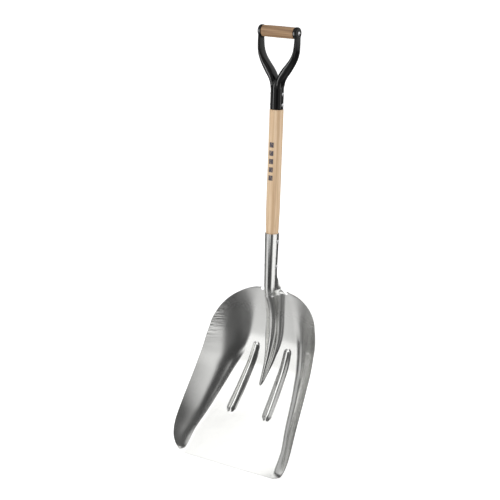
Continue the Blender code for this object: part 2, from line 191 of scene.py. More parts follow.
def ridge_section(z, n_crest, n_foot):
    """Half section of the hollow ridge: a round crest running into a hollow foot, two tangent arcs."""
    h = max(float(ridge_h(z)), 1e-3)
    b = float(ridge_b(z))
    turn = 2 * math.atan2(h, b)
    both = b / math.sin(turn)
    r = min(float(ridge_r(z)), 0.7 * both)
    foot = both - r
    a = turn * np.arange(n_crest + 1) / n_crest
    c = turn * (1 - np.arange(1, n_foot + 1) / n_foot)
    return (np.concatenate((r * np.sin(a), b - foot * np.sin(c))),
            np.concatenate((h - r * (1 - np.cos(a)), foot * (1 - np.cos(c)))))


def socket_section(z, n_arc, n_leg, back):
    """Half section of the rolled socket: front quarter, then a leg that closes to a tube."""
    r = float(socket_r(z))
    opened = 1 - float(ease((z - SEAM_OPEN) / (SEAM_CLOSED - SEAM_OPEN)))
    length = LEG * opened + (math.pi * r / 2 - SEAM_HALF) * (1 - opened)
    bend = max((1 - opened) / r, 1e-6)
    top = back + r
    a = math.pi / 2 * np.arange(n_arc + 1) / n_arc
    u = length * np.arange(1, n_leg + 1) / n_leg
    xs = np.concatenate((r * np.sin(a), r - (1 - np.cos(bend * u)) / bend))
    qs = np.concatenate((top - r * (1 - np.cos(a)), top - r - np.sin(bend * u) / bend))
    return xs, qs


def rib_height(x, z):
    """Raised rib with sloping flanks, softened corners and rounded ends."""
    ax, az = RIB_LOW
    bx, bz = RIB_HIGH
    k = 1.2
    dx, dz = bx - ax, (bz - az) * k
    t = np.clip(((x - ax) * dx + (z - az) * k * dz) / (dx * dx + dz * dz), 0, 1)
    d = np.hypot(x - ax - dx * t, (z - az) * k - dz * t)
    u = (RIB_HALF - d) / (RIB_HALF * RIB_FLANK)
    c = 0.14
    foot = np.clip(u + c, 0, 2 * c) ** 2 / (4 * c)
    crest = np.clip(1 + c - u, 0, 2 * c) ** 2 / (4 * c)
    return RIB_RISE * np.where(u < 0.5, np.where(u < c, foot, u), np.where(u > 1 - c, 1 - crest, u))


def rib_middle(z):
    t = np.clip((z - RIB_LOW[1]) / (RIB_HIGH[1] - RIB_LOW[1]), 0, 1)
    x = RIB_LOW[0] + (RIB_HIGH[0] - RIB_LOW[0]) * t
    return x + (28.0 - x) * ease((z - 300) / 155)


# ---------------------------------------------------------------- scoop blade
N_ARC, N_LEG, N_FILLET, N_IN, N_RIB, N_OUT, N_WALL = 14, 8, 6, 6, 14, 8, 30


def blade_half_row(z, rise):
    """Points of one row from the ridge's crest over the floor and out to the rim."""
    y0, z0, ny, nz = (float(v) for v in station(z))
    x, q = ridge_section(z, N_ARC, N_LEG + N_FILLET)
    start = x[-1]
    end = float(fold_x(z))
    mid = float(rib_middle(z))
    half = min(RIB_HALF, 0.42 * (end - start))
    mid = min(max(mid, start + half * 1.15), end - half * 1.1)
    fx = np.concatenate((np.linspace(start, mid - half, N_IN + 1)[1:],
                         np.linspace(mid - half, mid + half, N_RIB + 1)[1:],
                         np.linspace(mid + half, end, N_OUT + 1)[1:-1]))
    x = np.concatenate((x, fx))
    q = np.concatenate((q, rib_height(fx, z)))
    y, zz = y0 + ny * q, z0 + nz * q
    t = np.arange(N_WALL + 1) / N_WALL
    zt = np.minimum(z + LOBE_RISE * ease(t / 0.5) * rise, 455.0)
    wy, wz, wny, wnz = station(zt)
    w = rim_x(zt) - fold_x(zt)
    h = rim_h(zt)
    bx = (3 * t * (1 - t) ** 2 * 0.30 + 3 * t * t * (1 - t) * 0.69 + t ** 3) * w
    bq = (3 * t * t * (1 - t) * 0.40 + t ** 3) * h
    x = np.concatenate((x, fold_x(zt) + bx))
    y = np.concatenate((y, wy + wny * bq))
    zz = np.concatenate((zz, wz + wnz * bq))
    return np.stack((x, y, zz), 1)


def row_heights():
    """Heights of the floor's rows, closer together near the cutting edge and the top."""
    z, out = 0.0, [0.0]
    while z < FLOOR_TOP:
        step = 1.0 + 2.8 * float(ease(z / 50.0)) * (1 - 0.72 * float(ease((z - 370) / 70.0)))
        z = min(z + step, FLOOR_TOP)
        if FLOOR_TOP - z < 0.6:
            z = FLOOR_TOP
        out.append(z)
    return out


def mirrored(half):
    left = half[:0:-1] * np.array((-1.0, 1.0, 1.0))
    return np.vstack((left, half))


def blade_grid():
    rows = []
    for z in row_heights():
        rise = float(ease((z - 380) / (FLOOR_TOP - 380)))
        rows.append(mirrored(blade_half_row(z, rise)))
    back0 = float(floor_y(FLOOR_TOP))
    _, _, ny, nz = (float(v) for v in station(FLOOR_TOP))
    tilt0 = math.atan2(-nz, -ny)
    heights = np.concatenate((np.arange(444.8, 452, 0.8), np.arange(452.5, 462, 1.5),
                              np.arange(462, 512, 2.0), np.arange(512, SOCKET_TOP - 2, 4.0), (SOCKET_TOP,)))
    for z in heights:
        k = float(ease((z - FLOOR_TOP) / 34.0))
        tilt = tilt0 * (1 - k)
        x, q = socket_section(z, N_ARC, N_LEG + N_FILLET, back0)
        q = q - LEAN * (max(LEAN_TOP - z, 0.0) / (LEAN_TOP - FLOOR_TOP)) ** 2
        # the legs run out of the floor in a small flare
        flare = float(ease((456 - z) / 12.0))
        if flare > 0:
            rx, rq = ridge_section(FLOOR_TOP, N_ARC, N_LEG + N_FILLET)
            x = x * (1 - flare) + rx * flare
            q = q * (1 - flare) + rq * flare
        half = np.stack((x, back0 - math.cos(tilt) * q, z - math.sin(tilt) * q), 1)
        rows.append(mirrored(half))
    return rows


def sheet_solid(rows, thickness, edge_round=0.35):
    """Closed sheet around a middle grid; later rows may be shorter. Free edges are rounded."""
    start = np.cumsum([0] + [len(r) for r in rows])
    verts = np.vstack(rows)
    quads = []
    for k in range(len(rows) - 1):
        na, nb = len(rows[k]), len(rows[k + 1])
        off = (na - nb) // 2
        a = start[k] + off + np.arange(nb - 1)
        b = start[k + 1] + np.arange(nb - 1)
        quads.append(np.stack((a, b, b + 1, a + 1), 1))
    quads = np.vstack(quads)

    c = np.cross(verts[quads[:, 2]] - verts[quads[:, 0]], verts[quads[:, 3]] - verts[quads[:, 1]])
    normal = np.zeros_like(verts)
    for k in range(4):
        np.add.at(normal, quads[:, k], c)
    normal /= np.maximum(np.linalg.norm(normal, axis=1), 1e-12)[:, None]
    n = len(verts)
    edge_keys = np.vstack([np.stack((quads[:, k], quads[:, (k + 1) % 4]), 1) for k in range(4)])
    code = edge_keys[:, 0].astype(np.int64) * (n + 1) + edge_keys[:, 1]
    back = edge_keys[:, 1].astype(np.int64) * (n + 1) + edge_keys[:, 0]
    free = ~np.isin(code, back)
    border = edge_keys[free]
    # outward direction at the free edge, for the rounded lip
    out = np.zeros_like(verts)
    centre = verts[quads].mean(1)
    owner = np.tile(np.arange(len(quads)), 4)[free]
    d = verts[border].mean(1) - centre[owner]
    for k in range(2):
        np.add.at(out, border[:, k], d)
    out -= normal * (out * normal).sum(1)[:, None]
    length = np.linalg.norm(out, axis=1)
    on_edge = length > 0
    out[on_edge] /= length[on_edge][:, None]
    half = thickness / 2
    front, rear = verts - normal * half, verts + normal * half
    front[on_edge] += -out[on_edge] * edge_round * 0.4
    rear[on_edge] += -out[on_edge] * edge_round * 0.4
    lip_index = -np.ones(n, int)
    edge_ids = np.nonzero(on_edge)[0]
    lip_index[edge_ids] = 2 * n + np.arange(len(edge_ids))
    lip = verts[edge_ids] + out[edge_ids] * edge_round
    faces = [tuple(q[::-1]) for q in quads.tolist()]
    faces += [tuple(i + n for i in q) for q in quads.tolist()]
    for a, b in border.tolist():
        faces.append((a, b, lip_index[b], lip_index[a]))
        faces.append((lip_index[a], lip_index[b], b + n, a + n))
    return np.vstack((front, rear, lip)), faces


def add_mesh(name, verts, faces, smooth_angle=None):
    """A mesh object from points in millimetres, smooth except where it turns sharply."""
    mesh = bpy.data.meshes.new(name)
    faces = [tuple(int(i) for i in f) for f in faces]
    mesh.from_pydata((np.asarray(verts, float) * MM).tolist(), [], faces)
    bm = bmesh.new()
    bm.from_mesh(mesh)
    bmesh.ops.recalc_face_normals(bm, faces=bm.faces[:])
    for f in bm.faces:
        f.smooth = True
    if smooth_angle is not None:
        for e in bm.edges:
            e.smooth = e.calc_face_angle(0.0) < math.radians(smooth_angle)
    bm.to_mesh(mesh)
    bm.free()
    obj = bpy.data.objects.new(name, mesh)
    bpy.context.scene.collection.objects.link(obj)
    return obj


def build_blade():
    rows = [r + np.array((0.0, AXIS_Y, 0.0)) for r in blade_grid()]
    verts, faces = sheet_solid(rows, SHEET_T)
    return add_mesh("blade_shell", verts, faces, 60.0)


# ---------------------------------------------------------------- turned parts
def lathe(profile, axis, centre, segments, wobble=None):
    """Closed revolved solid; profile is (radius, position), wobble a small share of the radius."""
    verts, faces, rings = [], [], []
    for r, t in profile:
        if r < 1e-6:
            rings.append([len(verts)])
            verts.append(place(0.0, 0.0, t, axis, centre))
        else:
            rings.append(list(range(len(verts), len(verts) + segments)))
            for k in range(segments):
                a = 2 * math.pi * k / segments
                rr = r * (1 + (wobble(a, t) if wobble else 0.0))
                verts.append(place(rr * math.cos(a), rr * math.sin(a), t, axis, centre))
    for a, b in zip(rings[:-1], rings[1:]):
        for k in range(segments):
            k2 = (k + 1) % segments
            if len(a) == 1:
                faces.append((a[0], b[k], b[k2]))
            elif len(b) == 1:
                faces.append((a[k], b[0], a[k2]))
            else:
                faces.append((a[k], b[k], b[k2], a[k2]))
    return verts, faces


def place(u, v, t, axis, centre):
    """A point from cross coordinates (u, v) and a position t along the axis X or Z."""
    if axis == "X":
        return (t + centre[0], u + centre[1], v + centre[2])
    return (u + centre[0], v + centre[1], t + centre[2])


def build_shaft():
    tenon = FERRULE_R - FERRULE_T - GAP
    profile = [(0, SHAFT_BOTTOM), (10.5, SHAFT_BOTTOM), (12.5, SHAFT_BOTTOM + 1.0),
               (14.2, SHAFT_BOTTOM + 5)]
    for z in np.linspace(495.0, SOCKET_TOP, 10):
        profile.append((float(socket_r(z)) - SHEET_T / 2 - GAP, z))
    mouth = float(socket_r(SOCKET_TOP)) - SHEET_T / 2 - GAP
    taper = curve_through(((SOCKET_TOP, mouth), *SHAFT_NECK, (SHAFT_TAPER, SHAFT_R)))
    profile += [(float(taper(z)), z) for z in np.linspace(SOCKET_TOP, SHAFT_TAPER, 14)[1:]]
    profile += [(SHAFT_R, z) for z in np.linspace(SHAFT_TAPER, FERRULE_LOW - 1.2, 30)[1:]]
    profile += [(SHAFT_R - 0.15, FERRULE_LOW - 0.6), (SHAFT_R - 0.7, FERRULE_LOW - GAP),
                (tenon, FERRULE_LOW - GAP), (tenon, SHAFT_TOP - 2), (tenon - 2, SHAFT_TOP), (0, SHAFT_TOP)]
    v, f = lathe(profile, "Z", (0, AXIS_Y, 0), 96,
                 lambda a, t: 0.0012 * math.sin(2 * a + t * 0.004) + 0.0007 * math.sin(t * 0.021))
    return add_mesh("shaft_turned", v, f, 40.0)


def build_grip():
    neck = CUP_LIP - GAP
    tenon = CUP_R - CUP_WALL - GAP
    hole = GRIP_ROD_R + GAP
    right = [(BAR_R + 0.3 - 0.3 * (x / neck) ** 2, x) for x in np.linspace(0, neck - 1.4, 16)]
    right += [(BAR_R - 0.12, neck - 0.7), (BAR_R - 0.5, neck), (tenon, neck), (tenon, BAR_HALF - 0.6),
              (tenon - 0.5, BAR_HALF), (hole, BAR_HALF)]
    profile = [(r, -t) for r, t in reversed(right)] + right[1:]
    seg = 96
    v, f = lathe(profile, "X", (0, AXIS_Y, GRIP_Z), seg, lambda a, t: 0.0015 * math.sin(2 * a + 0.03 * t))
    last = len(v) - seg
    for k in range(seg):
        k2 = (k + 1) % seg
        f.append((last + k, k, k2, last + k2))
    return add_mesh("grip_turned", v, f, 40.0)


def rivet(name, z, reach, rod, head, rise):
    """Rod with a low domed head, a small flat land and a rolled edge at each end."""
    inner = reach + GAP
    land = 0.35
    dome = [(head * math.sin(a), inner + land + (rise - land) * math.cos(a))
            for a in np.linspace(0.0, math.pi / 2, 9)[1:]]
    half = dome + [(head, inner + 0.12), (head - 0.15, inner), (rod, inner)]
    profile = [(0, -inner - rise)] + [(r, -t) for r, t in half]
    profile += [(r, t) for r, t in reversed(half)] + [(0, inner + rise)]
    v, f = lathe(profile, "X", (0, AXIS_Y, z), 40)
    return add_mesh(name, v, f, 50.0)


# ---------------------------------------------------------------- yoke
def arm_mesh(side, n_path=80, n_loop=56):
    """One arm: rounded-box sections swept from the ferrule up to the cup."""
    path = np.array(ARM_PATH, float)
    steps = np.concatenate(([0.0], np.cumsum(np.hypot(*np.diff(path, axis=0).T))))
    total = steps[-1]
    px = curve_through(list(zip(steps / total, path[:, 0])))
    pz = curve_through(list(zip(steps / total, path[:, 1])))
    hx, hy = curve_through(ARM_HALF_X), curve_through(ARM_HALF_Y)
    verts, faces = [], []
    for i in range(n_path + 1):
        s = i / n_path
        a, b = max(s - 0.03, 0), min(s + 0.03, 1)
        dx, dz = float(px(b) - px(a)), float(pz(b) - pz(a))
        length = math.hypot(dx, dz)
        ox, oz = dz / length, -dx / length
        power = 2.0 + 1.2 * float(ease(s / 0.3))
        for k in range(n_loop):
            t = 2 * math.pi * k / n_loop
            c, d = math.cos(t), math.sin(t)
            u = math.copysign(abs(c) ** (2 / power), c) * float(hx(s))
            w = math.copysign(abs(d) ** (2 / power), d) * float(hy(s))
            verts.append((side * (float(px(s)) + ox * u), AXIS_Y + w, float(pz(s)) + oz * u))
    for i in range(n_path):
        for k in range(n_loop):
            a, b = i * n_loop + k, i * n_loop + (k + 1) % n_loop
            faces.append((a, b, b + n_loop, a + n_loop))
    faces.append(tuple(range(n_loop)))
    faces.append(tuple(range(n_path * n_loop, (n_path + 1) * n_loop)))
    return verts, faces


def boolean(obj, tool, operation):
    mod = obj.modifiers.new("b", "BOOLEAN")
    mod.operation = operation
    mod.solver = "EXACT"
    mod.object = tool


def bake_modifiers(obj):
    """Replace an object's mesh by the result of its modifiers."""
    bpy.context.view_layer.update()
    dg = bpy.context.evaluated_depsgraph_get()
    mesh = bpy.data.meshes.new_from_object(obj.evaluated_get(dg))
    obj.modifiers.clear()
    obj.data = mesh


def build_yoke():
    ferrule = [(0, FERRULE_LOW), (FERRULE_R - 0.4, FERRULE_LOW), (FERRULE_R, FERRULE_LOW + 0.4),
               (FERRULE_R, FERRULE_HIGH), *CROTCH]
    v, f = lathe(ferrule, "Z", (0, AXIS_Y, 0), 96)
    yoke = add_mesh("yoke_pressing", v, f)
    tools = []
    for side in (1, -1):
        v, f = arm_mesh(side)
        tools.append(("UNION", add_mesh("t", v, f)))
    for side in (1, -1):
        cup = [(0, CUP_LIP), (CUP_R - 0.6, CUP_LIP), (CUP_R, CUP_LIP + 0.6), (CUP_R, CUP_FACE - 2.0),
               (CUP_R - 1.6, CUP_FACE - 0.4), (CUP_R - 3.2, CUP_FACE), (0, CUP_FACE)]
        v, f = lathe([(r, side * t) for r, t in cup], "X", (0, AXIS_Y, GRIP_Z), 72)
        tools.append(("UNION", add_mesh("t", v, f)))
    for op, tool in tools:
        boolean(yoke, tool, op)
    bake_modifiers(yoke)
    for _, tool in tools:
        bpy.data.objects.remove(tool, do_unlink=True)
    remesh = yoke.modifiers.new("r", "REMESH")
    remesh.mode = "VOXEL"
    remesh.voxel_size = 0.0010
    smooth = yoke.modifiers.new("s", "SMOOTH")
    smooth.factor = 0.5
    smooth.iterations = 6
    bake_modifiers(yoke)
    cuts = []
    for side in (1, -1):
        recess = [(0, CUP_LIP - 3), (CUP_R - CUP_WALL, CUP_LIP - 3),
                  (CUP_R - CUP_WALL, CUP_FACE - CUP_WALL), (0, CUP_FACE - CUP_WALL)]
        v, f = lathe([(r, side * t) for r, t in recess], "X", (0, AXIS_Y, GRIP_Z), 72)
        cuts.append(add_mesh("t", v, f))
    bore = FERRULE_R - FERRULE_T
    hollow = [(0, FERRULE_LOW - 5), (bore, FERRULE_LOW - 5), (bore, SHAFT_TOP + 1), (0, SHAFT_TOP + 1)]
    v, f = lathe(hollow, "Z", (0, AXIS_Y, 0), 72)
    cuts.append(add_mesh("t", v, f))
    for tool in cuts:
        boolean(yoke, tool, "DIFFERENCE")
    bake_modifiers(yoke)
    for tool in cuts:
        bpy.data.objects.remove(tool, do_unlink=True)
    for p in yoke.data.polygons:
        p.use_smooth = True
    mark_sharp(yoke, 45.0)
    return yoke


def mark_sharp(obj, degrees):
    bm = bmesh.new()
    bm.from_mesh(obj.data)
    for e in bm.edges:
        e.smooth = e.calc_face_angle(0.0) < math.radians(degrees)
    bm.to_mesh(obj.data)
    bm.free()


# ---------------------------------------------------------------- materials
def new_material(name):
    m = bpy.data.materials.new(name)
    m.use_nodes = True
    tree = m.node_tree
    return m, tree, tree.nodes["Principled BSDF"]


def node(tree, kind, **sockets):
    n = tree.nodes.new(kind)
    for key, value in sockets.items():
        n.inputs[key.replace("_", " ")].default_value = value
    return n


def coords(tree, scale=(1, 1, 1)):
    """Object coordinates in metres, stretched by a scale along each axis."""
    tc = tree.nodes.new("ShaderNodeTexCoord")
    mp = tree.nodes.new("ShaderNodeMapping")
    mp.inputs["Scale"].default_value = scale
    tree.links.new(tc.outputs["Object"], mp.inputs["Vector"])
    return mp.outputs["Vector"]


def noise(tree, vector, scale, detail=3.0, rough=0.5, distortion=0.0):
    n = node(tree, "ShaderNodeTexNoise", Scale=scale, Detail=detail, Roughness=rough, Distortion=distortion)
    tree.links.new(vector, n.inputs["Vector"])
    return n.outputs["Fac"]


def ramp(tree, value, low, high, out_low, out_high):
    """Straight clamped ramp from (low, out_low) to (high, out_high)."""
    n = node(tree, "ShaderNodeMapRange", From_Min=low, From_Max=high, To_Min=out_low, To_Max=out_high)
    tree.links.new(value, n.inputs["Value"])
    return n.outputs["Result"]


def mix_colour(tree, factor, a, b):
    """Colour a where the factor is 0 and b where it is 1; each a tuple or a socket."""
    n = tree.nodes.new("ShaderNodeMix")
    n.data_type = "RGBA"
    tree.links.new(factor, n.inputs[0])
    for socket, value in ((n.inputs[6], a), (n.inputs[7], b)):
        if isinstance(value, tuple):
            socket.default_value = (*value, 1.0)
        else:
            tree.links.new(value, socket)
    return n.outputs[2]


def math_node(tree, op, a, b=None):
    n = tree.nodes.new("ShaderNodeMath")
    n.operation = op
    for k, value in enumerate((a, b)):
        if value is None:
            continue
        if isinstance(value, (int, float)):
            n.inputs[k].default_value = value
        else:
            tree.links.new(value, n.inputs[k])
    return n.outputs[0]


def bump(tree, height, strength, distance, previous=None):
    n = node(tree, "ShaderNodeBump", Strength=strength, Distance=distance)
    tree.links.new(height, n.inputs["Height"])
    if previous is not None:
        tree.links.new(previous, n.inputs["Normal"])
    return n.outputs["Normal"]


def separate(tree, vector):
    n = tree.nodes.new("ShaderNodeSeparateXYZ")
    tree.links.new(vector, n.inputs[0])
    return n.outputs


def aluminium():
    m, t, s = new_material("rolled_aluminium")
    s.inputs["Metallic"].default_value = 1.0
    along = noise(t, coords(t, (1, 9, 9)), 60.0, 4.0, 0.6)
    fine = noise(t, coords(t, (520, 26, 26)), 6.0, 3.0, 0.6)
    cloud = noise(t, coords(t), 9.0, 3.0, 0.5)
    x, _, z = separate(t, coords(t))[:3]
    s.inputs["Anisotropic"].default_value = 0.25
    t.links.new(mix_colour(t, ramp(t, cloud, 0.3, 0.7, 0.0, 1.0), (0.83, 0.83, 0.81), (0.92, 0.92, 0.90)),
                s.inputs["Base Color"])
    rough = math_node(t, "ADD", ramp(t, cloud, 0.3, 0.7, 0.13, 0.17), ramp(t, fine, 0.3, 0.7, 0.0, 0.05))
    worked = math_node(t, "MULTIPLY", ramp(t, z, 0.29, 0.42, 0.0, 0.13), ramp(t, z, 0.44, 0.47, 1.0, 0.0))
    t.links.new(math_node(t, "ADD", rough, worked), s.inputs["Roughness"])
    # drawing wrinkles across the side walls, strongest where the top lobes turn
    side = math_node(t, "ABSOLUTE", x)
    wall = ramp(t, math_node(t, "ADD", side, math_node(t, "MULTIPLY", z, 0.28)), 0.232, 0.268, 0.0, 1.0)
    place = math_node(t, "MULTIPLY", wall, math_node(t, "MULTIPLY", ramp(t, z, 0.28, 0.36, 0.0, 1.0),
                                                      ramp(t, z, 0.42, 0.46, 1.0, 0.0)))
    pleats = noise(t, coords(t, (0.10, 0.16, 1.0)), 150.0, 2.0, 0.5, 0.4)
    n0 = bump(t, math_node(t, "MULTIPLY", pleats, place), 0.7, 0.006)
    # softer ripples down the right wall
    ripples = noise(t, coords(t, (0.6, 0.6, 1.0)), 48.0, 2.0, 0.5, 0.8)
    band = math_node(t, "MULTIPLY", ramp(t, z, 0.06, 0.14, 0.0, 1.0), ramp(t, z, 0.40, 0.45, 1.0, 0.0))
    right = math_node(t, "MULTIPLY", ramp(t, x, 0.140, 0.162, 0.0, 1.0), band)
    n0 = bump(t, math_node(t, "MULTIPLY", ripples, right), 0.35, 0.008, n0)
    n1 = bump(t, cloud, 0.10, 0.004, n0)
    n2 = bump(t, along, 0.05, 0.0008, n1)
    t.links.new(bump(t, fine, 0.06, 0.0002, n2), s.inputs["Normal"])
    return m


def wood(name, pale, mid, dark, axis, rings, contrast, rough, coat, ink=None):
    """Straight-grained turned wood; axis is the grain's direction.

    ink is (colour, lowest, highest, half width, number of bars) in metres, or None.
    """
    m, t, s = new_material(name)
    stretch = (1, 1, 0.05) if axis == "Z" else (0.05, 1, 1)
    v = coords(t, stretch)
    wave = node(t, "ShaderNodeTexWave", Scale=rings, Distortion=5.0, Detail=3.0)
    wave.inputs["Detail Scale"].default_value = 1.3
    wave.wave_type = "BANDS"
    wave.bands_direction = "DIAGONAL"
    t.links.new(v, wave.inputs["Vector"])
    pores = noise(t, coords(t, (1, 1, 0.012) if axis == "Z" else (0.012, 1, 1)), 900.0, 3.0, 0.7)
    cloud = noise(t, coords(t, (1, 1, 0.25) if axis == "Z" else (0.25, 1, 1)), 40.0, 3.0, 0.6)
    streak = noise(t, coords(t, (1, 1, 0.02) if axis == "Z" else (0.02, 1, 1)), 170.0, 2.0, 0.5)
    base = mix_colour(t, ramp(t, wave.outputs["Fac"], 0.1, 0.9, 0.0, contrast), pale, mid)
    base = mix_colour(t, ramp(t, cloud, 0.42, 0.75, 0.0, 0.6), base, mid)
    base = mix_colour(t, ramp(t, streak, 0.48, 0.64, 0.0, 0.55), base, dark)
    base = mix_colour(t, ramp(t, pores, 0.56, 0.72, 0.0, 0.7), base, dark)
    if ink is not None:
        base = mix_colour(t, printed_bars(t, *ink[1:]), base, ink[0])
    t.links.new(base, s.inputs["Base Color"])
    t.links.new(ramp(t, pores, 0.35, 0.7, rough, rough + 0.15), s.inputs["Roughness"])
    s.inputs["Coat Weight"].default_value = coat
    s.inputs["Coat Roughness"].default_value = 0.18
    t.links.new(bump(t, pores, 0.25, 0.0002), s.inputs["Normal"])
    return m


def printed_bars(t, low, high, half, count):
    """A plain ladder of ink bars on the load side of the shaft, a little worn."""
    x, y, z = separate(t, coords(t))[:3]
    pitch = (high - low) / count
    step = math_node(t, "FRACT", math_node(t, "DIVIDE", math_node(t, "SUBTRACT", z, low), pitch))
    facing = AXIS_Y * MM - 0.003
    across = math_node(t, "ABSOLUTE", x)
    mask = ramp(t, step, 0.08, 0.12, 0.0, 1.0)
    for part in (ramp(t, step, 0.70, 0.74, 1.0, 0.0),
                 ramp(t, across, half - 0.0003, half + 0.0003, 1.0, 0.0),
                 ramp(t, z, low, low + 0.0004, 0.0, 1.0),
                 ramp(t, z, high - 0.0004, high, 1.0, 0.0),
                 ramp(t, y, facing - 0.001, facing + 0.001, 1.0, 0.0)):
        mask = math_node(t, "MULTIPLY", mask, part)
    worn = noise(t, coords(t, (1, 1, 0.3)), 420.0, 3.0, 0.6)
    return math_node(t, "MULTIPLY", mask, ramp(t, worn, 0.56, 0.66, 0.92, 0.35))


def black_enamel():
    """Glossy stoved black, with a thin clear mirror of the lights."""
    m, t, s = new_material("black_enamel")
    orange = noise(t, coords(t), 260.0, 2.0, 0.5)
    patch = noise(t, coords(t), 35.0, 4.0, 0.6)
    t.links.new(mix_colour(t, ramp(t, patch, 0.35, 0.7, 0.0, 1.0),
                           (0.0022, 0.0022, 0.0024), (0.0045, 0.0045, 0.0045)),
                s.inputs["Base Color"])
    s.inputs["IOR"].default_value = 1.30
    t.links.new(ramp(t, patch, 0.3, 0.7, 0.09, 0.16), s.inputs["Roughness"])
    t.links.new(bump(t, orange, 0.12, 0.0003), s.inputs["Normal"])
    return m


def rivet_steel():
    m, t, s = new_material("rivet_steel")
    s.inputs["Metallic"].default_value = 1.0
    spot = noise(t, coords(t), 700.0, 3.0, 0.6)
    t.links.new(mix_colour(t, ramp(t, spot, 0.35, 0.65, 0.0, 1.0), (0.55, 0.55, 0.56), (0.78, 0.78, 0.79)),
                s.inputs["Base Color"])
    t.links.new(ramp(t, spot, 0.3, 0.7, 0.2, 0.38), s.inputs["Roughness"])
    t.links.new(bump(t, spot, 0.25, 0.0002), s.inputs["Normal"])
    return m


# ---------------------------------------------------------------- build and place
def finish_piece(obj, material, slot, *replaced):
    obj.data.materials.clear()
    obj.data.materials.append(material)
    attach(obj, "root")
    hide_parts(*replaced)
    return obj


ALUMINIUM = aluminium()
INK = ((0.02, 0.025, 0.06), 0.762, 0.874, 0.0065, 5)
ASH = wood("ash_shaft", (0.76, 0.57, 0.38), (0.64, 0.44, 0.26), (0.44, 0.27, 0.14),
           "Z", 26.0, 0.75, 0.42, 0.2, INK)
GRIP_WOOD = wood("grip_wood", (0.42, 0.26, 0.14), (0.30, 0.17, 0.08), (0.14, 0.07, 0.03),
                 "X", 34.0, 0.8, 0.4, 0.3)
ENAMEL = black_enamel()
STEEL = rivet_steel()

finish_piece(build_blade(), ALUMINIUM, "aluminium", "scoop_blade")
finish_piece(build_shaft(), ASH, "ash_wood", "wood_shaft")
finish_piece(build_grip(), GRIP_WOOD, "grip_wood", "grip_bar")
finish_piece(build_yoke(), ENAMEL, "black_paint", "handle_yoke")
heads = rivet("grip_rivet_heads", GRIP_Z, CUP_FACE, GRIP_ROD_R, GRIP_HEAD_R, GRIP_HEAD_H)
finish_piece(heads, STEEL, "rivet_steel", "grip_through_rivet")
for k, height in enumerate(YOKE_RIVETS):
    piece = rivet("yoke_rivet_%d" % (k + 1), height, FERRULE_R, RIVET_R, RIVET_HEAD_R, RIVET_HEAD_H)
    finish_piece(piece, STEEL, "rivet_steel", ("yoke_rivet_lower", "yoke_rivet_upper")[k])
for k, height in enumerate(SOCKET_RIVETS):
    outside = float(socket_r(height)) + SHEET_T / 2
    piece = rivet("socket_rivet_%d" % (k + 1), height, outside, RIVET_R, RIVET_HEAD_R, RIVET_HEAD_H)
    finish_piece(piece, STEEL, "rivet_steel", ("socket_rivet_lower", "socket_rivet_upper")[k])

# ---------------------------------------------------------------- camera
cam_data = bpy.data.cameras.new("camera")
cam_data.sensor_width = 36.0
cam_data.lens = 102.53
cam_data.shift_x = -0.001
cam_data.shift_y = 0.001
cam = bpy.data.objects.new("camera", cam_data)
bpy.context.scene.collection.objects.link(cam)
cam.matrix_world = Matrix(((0.8244, -0.1605, 0.5427, 2.0579),
                           (0.5651, 0.1795, -0.8053, -3.1558 + 0.182),
                           (0.0319, 0.9706, 0.2387, 1.4917),
                           (0, 0, 0, 1)))
bpy.context.scene.camera = cam

# ---------------------------------------------------------------- studio
scene = bpy.context.scene
scene.view_settings.view_transform = "Standard"

floor_mat, ft, fs = new_material("studio_floor")
grain = noise(ft, coords(ft), 3.0, 2.0, 0.5)
ft.links.new(mix_colour(ft, ramp(ft, grain, 0.3, 0.7, 0.0, 1.0), (0.92, 0.92, 0.92), (0.93, 0.93, 0.93)),
             fs.inputs["Base Color"])
fs.inputs["Roughness"].default_value = 0.9
fs.inputs["Specular IOR Level"].default_value = 0.1
fs.inputs["Emission Color"].default_value = (1, 1, 1, 1)
fs.inputs["Emission Strength"].default_value = 0.62
bm = bmesh.new()
bmesh.ops.create_grid(bm, x_segments=4, y_segments=4, size=60.0)
floor_mesh = bpy.data.meshes.new("studio_floor")
bm.to_mesh(floor_mesh)
bm.free()
floor = bpy.data.objects.new("studio_floor", floor_mesh)
floor.location = (0, 0, CAD_BOX[0][2] - 0.0005)
floor_mesh.materials.append(floor_mat)
floor.visible_glossy = False
scene.collection.objects.link(floor)

# A studio of soft boxes and black flags around the object, each one an (azimuth, elevation)
# window in degrees: azimuth 0 is the photographer's side, positive to their right.
PHOTOGRAPHER = Vector((0.559, -0.829, 0.0))
THEIR_RIGHT = Vector((0.829, 0.559, 0.0))
UP = Vector((0.0, 0.0, 1.0))
AMBIENT = 0.36
WINDOWS = (
    # from, to, lowest, highest, edge, level
    (-200, -97, -11, 48, 8, 0.50),      # grey wall on the far left
    (-200, -118, 10, 60, 12, 0.30),     # fading towards its top
    (-126, -99, -14, 12, 5, 0.64),
    (-200, -97, -60, -11, 6, 0.17),     # dark floor below it
    (-97, -22, -50, 2, 9, 0.74),        # left fill, dimmer low down
    (-97, -22, -1, 30, 9, 1.10),
    (-97, -22, 30, 60, 12, 1.40),
    (-98, -85, -12, 50, 5, 0.07),       # narrow black flag beside it
    (-92, -80, -12, 24, 6, 0.07),       # wider low down
    (-24, 62, 26, 50, 8, 0.52),         # dim ceiling above the camera
    (18, 62, -10, 28, 8, 0.84),         # grey gap right of the camera
    (22, 86, -24, -8, 6, 1.05),         # low strip light on the right
    (60, 165, -8, 40, 8, 1.05),         # right soft box
    (88, 182, -36, -8, 7, 0.08),        # black flag under the right soft box
    (-200, 200, -75, -42, 12, 0.50),    # pale floor sheet
    (-97, 60, 50, 80, 8, 1.35),         # overhead soft box
    (-60, -15, 22, 50, 6, 0.06),        # high black flag, left of the camera
    (-16, 16, -34, 26, 6, 0.11),        # black flag on the photographer's side
)

